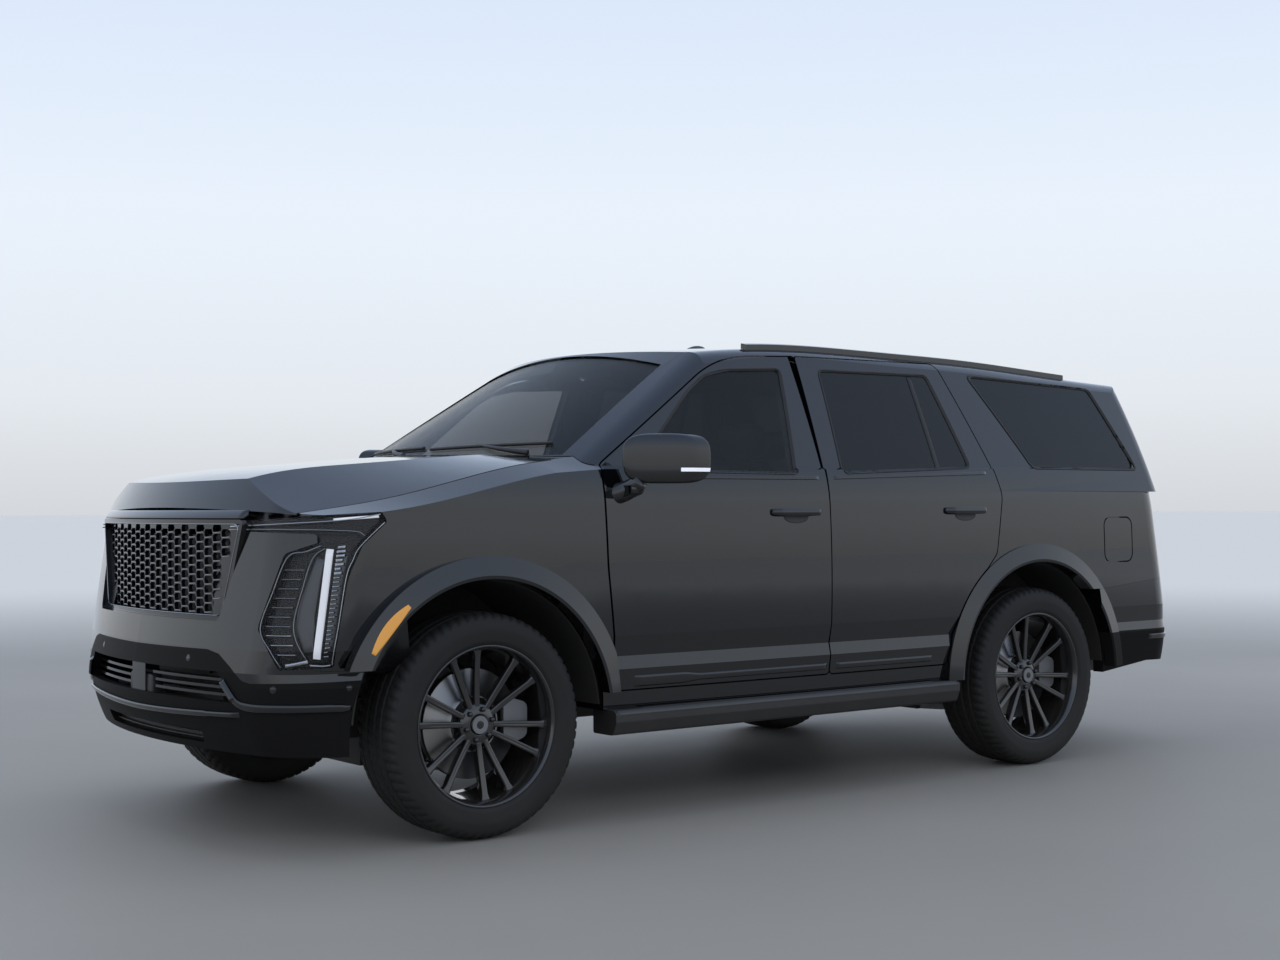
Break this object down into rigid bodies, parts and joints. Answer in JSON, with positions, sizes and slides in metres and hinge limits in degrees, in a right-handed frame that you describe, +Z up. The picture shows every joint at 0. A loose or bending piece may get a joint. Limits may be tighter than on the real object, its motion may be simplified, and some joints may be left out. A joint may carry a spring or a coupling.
{
  "type": "full-size luxury sport utility vehicle",
  "caption": "Full-size three-row sport utility vehicle with hinged doors, bonnet and tailgate, steered front wheels and a furnished hollow cabin.",
  "frame": {"origin": "on the ground under the middle of the vehicle's box", "axes": "+X to the front of the vehicle, +Y to its left, +Z up"},
  "size_m": [5.382, 2.4174, 1.9434],
  "materials": {
    "paint": "gloss black clear-coated",
    "black_trim": "gloss black",
    "satin_trim": "satin black",
    "dark_glass": "dark tinted",
    "windscreen_glass": "light tint",
    "lamp_clear": "clear lens",
    "lamp_red": "red lens",
    "tyre_rubber": "moulded",
    "rim_black": "gloss black",
    "disc_iron": "turned",
    "frame_steel": "chassis black",
    "cast_alloy": "cast",
    "exhaust_steel": "brushed",
    "leather": "grained black",
    "cabin_plastic": "soft grained"
  },
  "bodies": {
    "root": {"headlamps": "lamp_clear", "tail_lamps": "lamp_red", "quarter_windows": "dark_glass", "fenders": "paint", "body_sides": "paint", "roof_panel": "paint", "front_bumper": "paint", "rear_bumper": "paint", "windscreen": "windscreen_glass", "grille": "black_trim", "roof_rails": "black_trim", "cowl_panel": "satin_trim", "running_boards": "satin_trim", "wheelhouse_liners": "satin_trim", "radiator": "satin_trim", "fuel_tank": "satin_trim", "chassis_frame": "frame_steel", "floor_pan": "frame_steel", "engine_block": "cast_alloy", "drivetrain": "cast_alloy", "suspension": "cast_alloy", "exhaust": "exhaust_steel", "dashboard": "cabin_plastic", "seats": "leather"},
    "door_front_left": {"door_front_left": "paint", "window_front_left": "dark_glass", "mirror_left": "black_trim"},
    "door_rear_left": {"door_rear_left": "paint", "window_rear_left": "dark_glass"},
    "knuckle_left": {"knuckle_left": "cast_alloy"},
    "wheel_front_left": {"tyre_front_left": "tyre_rubber", "rim_front_left": "rim_black", "brake_disc_front_left": "disc_iron"},
    "wheel_rear_left": {"tyre_rear_left": "tyre_rubber", "rim_rear_left": "rim_black", "brake_disc_rear_left": "disc_iron"},
    "door_front_right": {"door_front_right": "paint", "window_front_right": "dark_glass", "mirror_right": "black_trim"},
    "door_rear_right": {"door_rear_right": "paint", "window_rear_right": "dark_glass"},
    "knuckle_right": {"knuckle_right": "cast_alloy"},
    "wheel_front_right": {"tyre_front_right": "tyre_rubber", "rim_front_right": "rim_black", "brake_disc_front_right": "disc_iron"},
    "wheel_rear_right": {"tyre_rear_right": "tyre_rubber", "rim_rear_right": "rim_black", "brake_disc_rear_right": "disc_iron"},
    "hood": {"hood": "paint"},
    "tailgate": {"tailgate": "paint", "rear_window": "dark_glass"},
    "fuel_flap": {"fuel_flap": "paint"},
    "steering_wheel": {"steering_wheel": "leather"}
  },
  "joints": [
    {"name": "steer_left", "type": "hinge", "parent": "root", "child": "knuckle_left", "pos_m": [1.749, 0.74, 0.417], "axis": [0, 0, 1], "range_deg": [-32, 32]},
    {"name": "wheel_front_left_spin", "type": "hinge", "parent": "knuckle_left", "child": "wheel_front_left", "pos_m": [1.749, 0.869, 0.417], "axis": [0, 1, 0], "continuous": true},
    {"name": "wheel_rear_left_spin", "type": "hinge", "parent": "root", "child": "wheel_rear_left", "pos_m": [-1.322, 0.869, 0.417], "axis": [0, 1, 0], "continuous": true},
    {"name": "door_front_left_swing", "type": "hinge", "parent": "root", "child": "door_front_left", "pos_m": [1.165, 1.016, 0.9], "axis": [0, 0, -1], "range_deg": [0, 65]},
    {"name": "door_rear_left_swing", "type": "hinge", "parent": "root", "child": "door_rear_left", "pos_m": [0.027, 1.016, 0.9], "axis": [0, 0, -1], "range_deg": [0, 65]},
    {"name": "steer_right", "type": "hinge", "parent": "root", "child": "knuckle_right", "pos_m": [1.749, -0.74, 0.417], "axis": [0, 0, 1], "range_deg": [-32, 32]},
    {"name": "wheel_front_right_spin", "type": "hinge", "parent": "knuckle_right", "child": "wheel_front_right", "pos_m": [1.749, -0.869, 0.417], "axis": [0, 1, 0], "continuous": true},
    {"name": "wheel_rear_right_spin", "type": "hinge", "parent": "root", "child": "wheel_rear_right", "pos_m": [-1.322, -0.869, 0.417], "axis": [0, 1, 0], "continuous": true},
    {"name": "door_front_right_swing", "type": "hinge", "parent": "root", "child": "door_front_right", "pos_m": [1.165, -1.016, 0.9], "axis": [0, 0, 1], "range_deg": [0, 65]},
    {"name": "door_rear_right_swing", "type": "hinge", "parent": "root", "child": "door_rear_right", "pos_m": [0.027, -1.016, 0.9], "axis": [0, 0, 1], "range_deg": [0, 65]},
    {"name": "hood_lift", "type": "hinge", "parent": "root", "child": "hood", "pos_m": [1.371, 0, 1.402], "axis": [0, -1, 0], "range_deg": [0, 50]},
    {"name": "tailgate_lift", "type": "hinge", "parent": "root", "child": "tailgate", "pos_m": [-2.198, 0, 1.882], "axis": [0, 1, 0], "range_deg": [0, 85]},
    {"name": "fuel_flap_swing", "type": "hinge", "parent": "root", "child": "fuel_flap", "pos_m": [-1.847, 0.989, 1.053], "axis": [0, 0, -1], "range_deg": [0, 80]},
    {"name": "steering_turn", "type": "hinge", "parent": "root", "child": "steering_wheel", "pos_m": [0.709, 0.41, 1.09], "axis": [-0.9063, 0, 0.4226], "range_deg": [-460, 460]}
  ],
  "couplings": [
    {"joint": "steer_right", "follows": "steer_left", "ratio": 1},
    {"joint": "steering_turn", "follows": "steer_left", "ratio": 14}
  ]
}
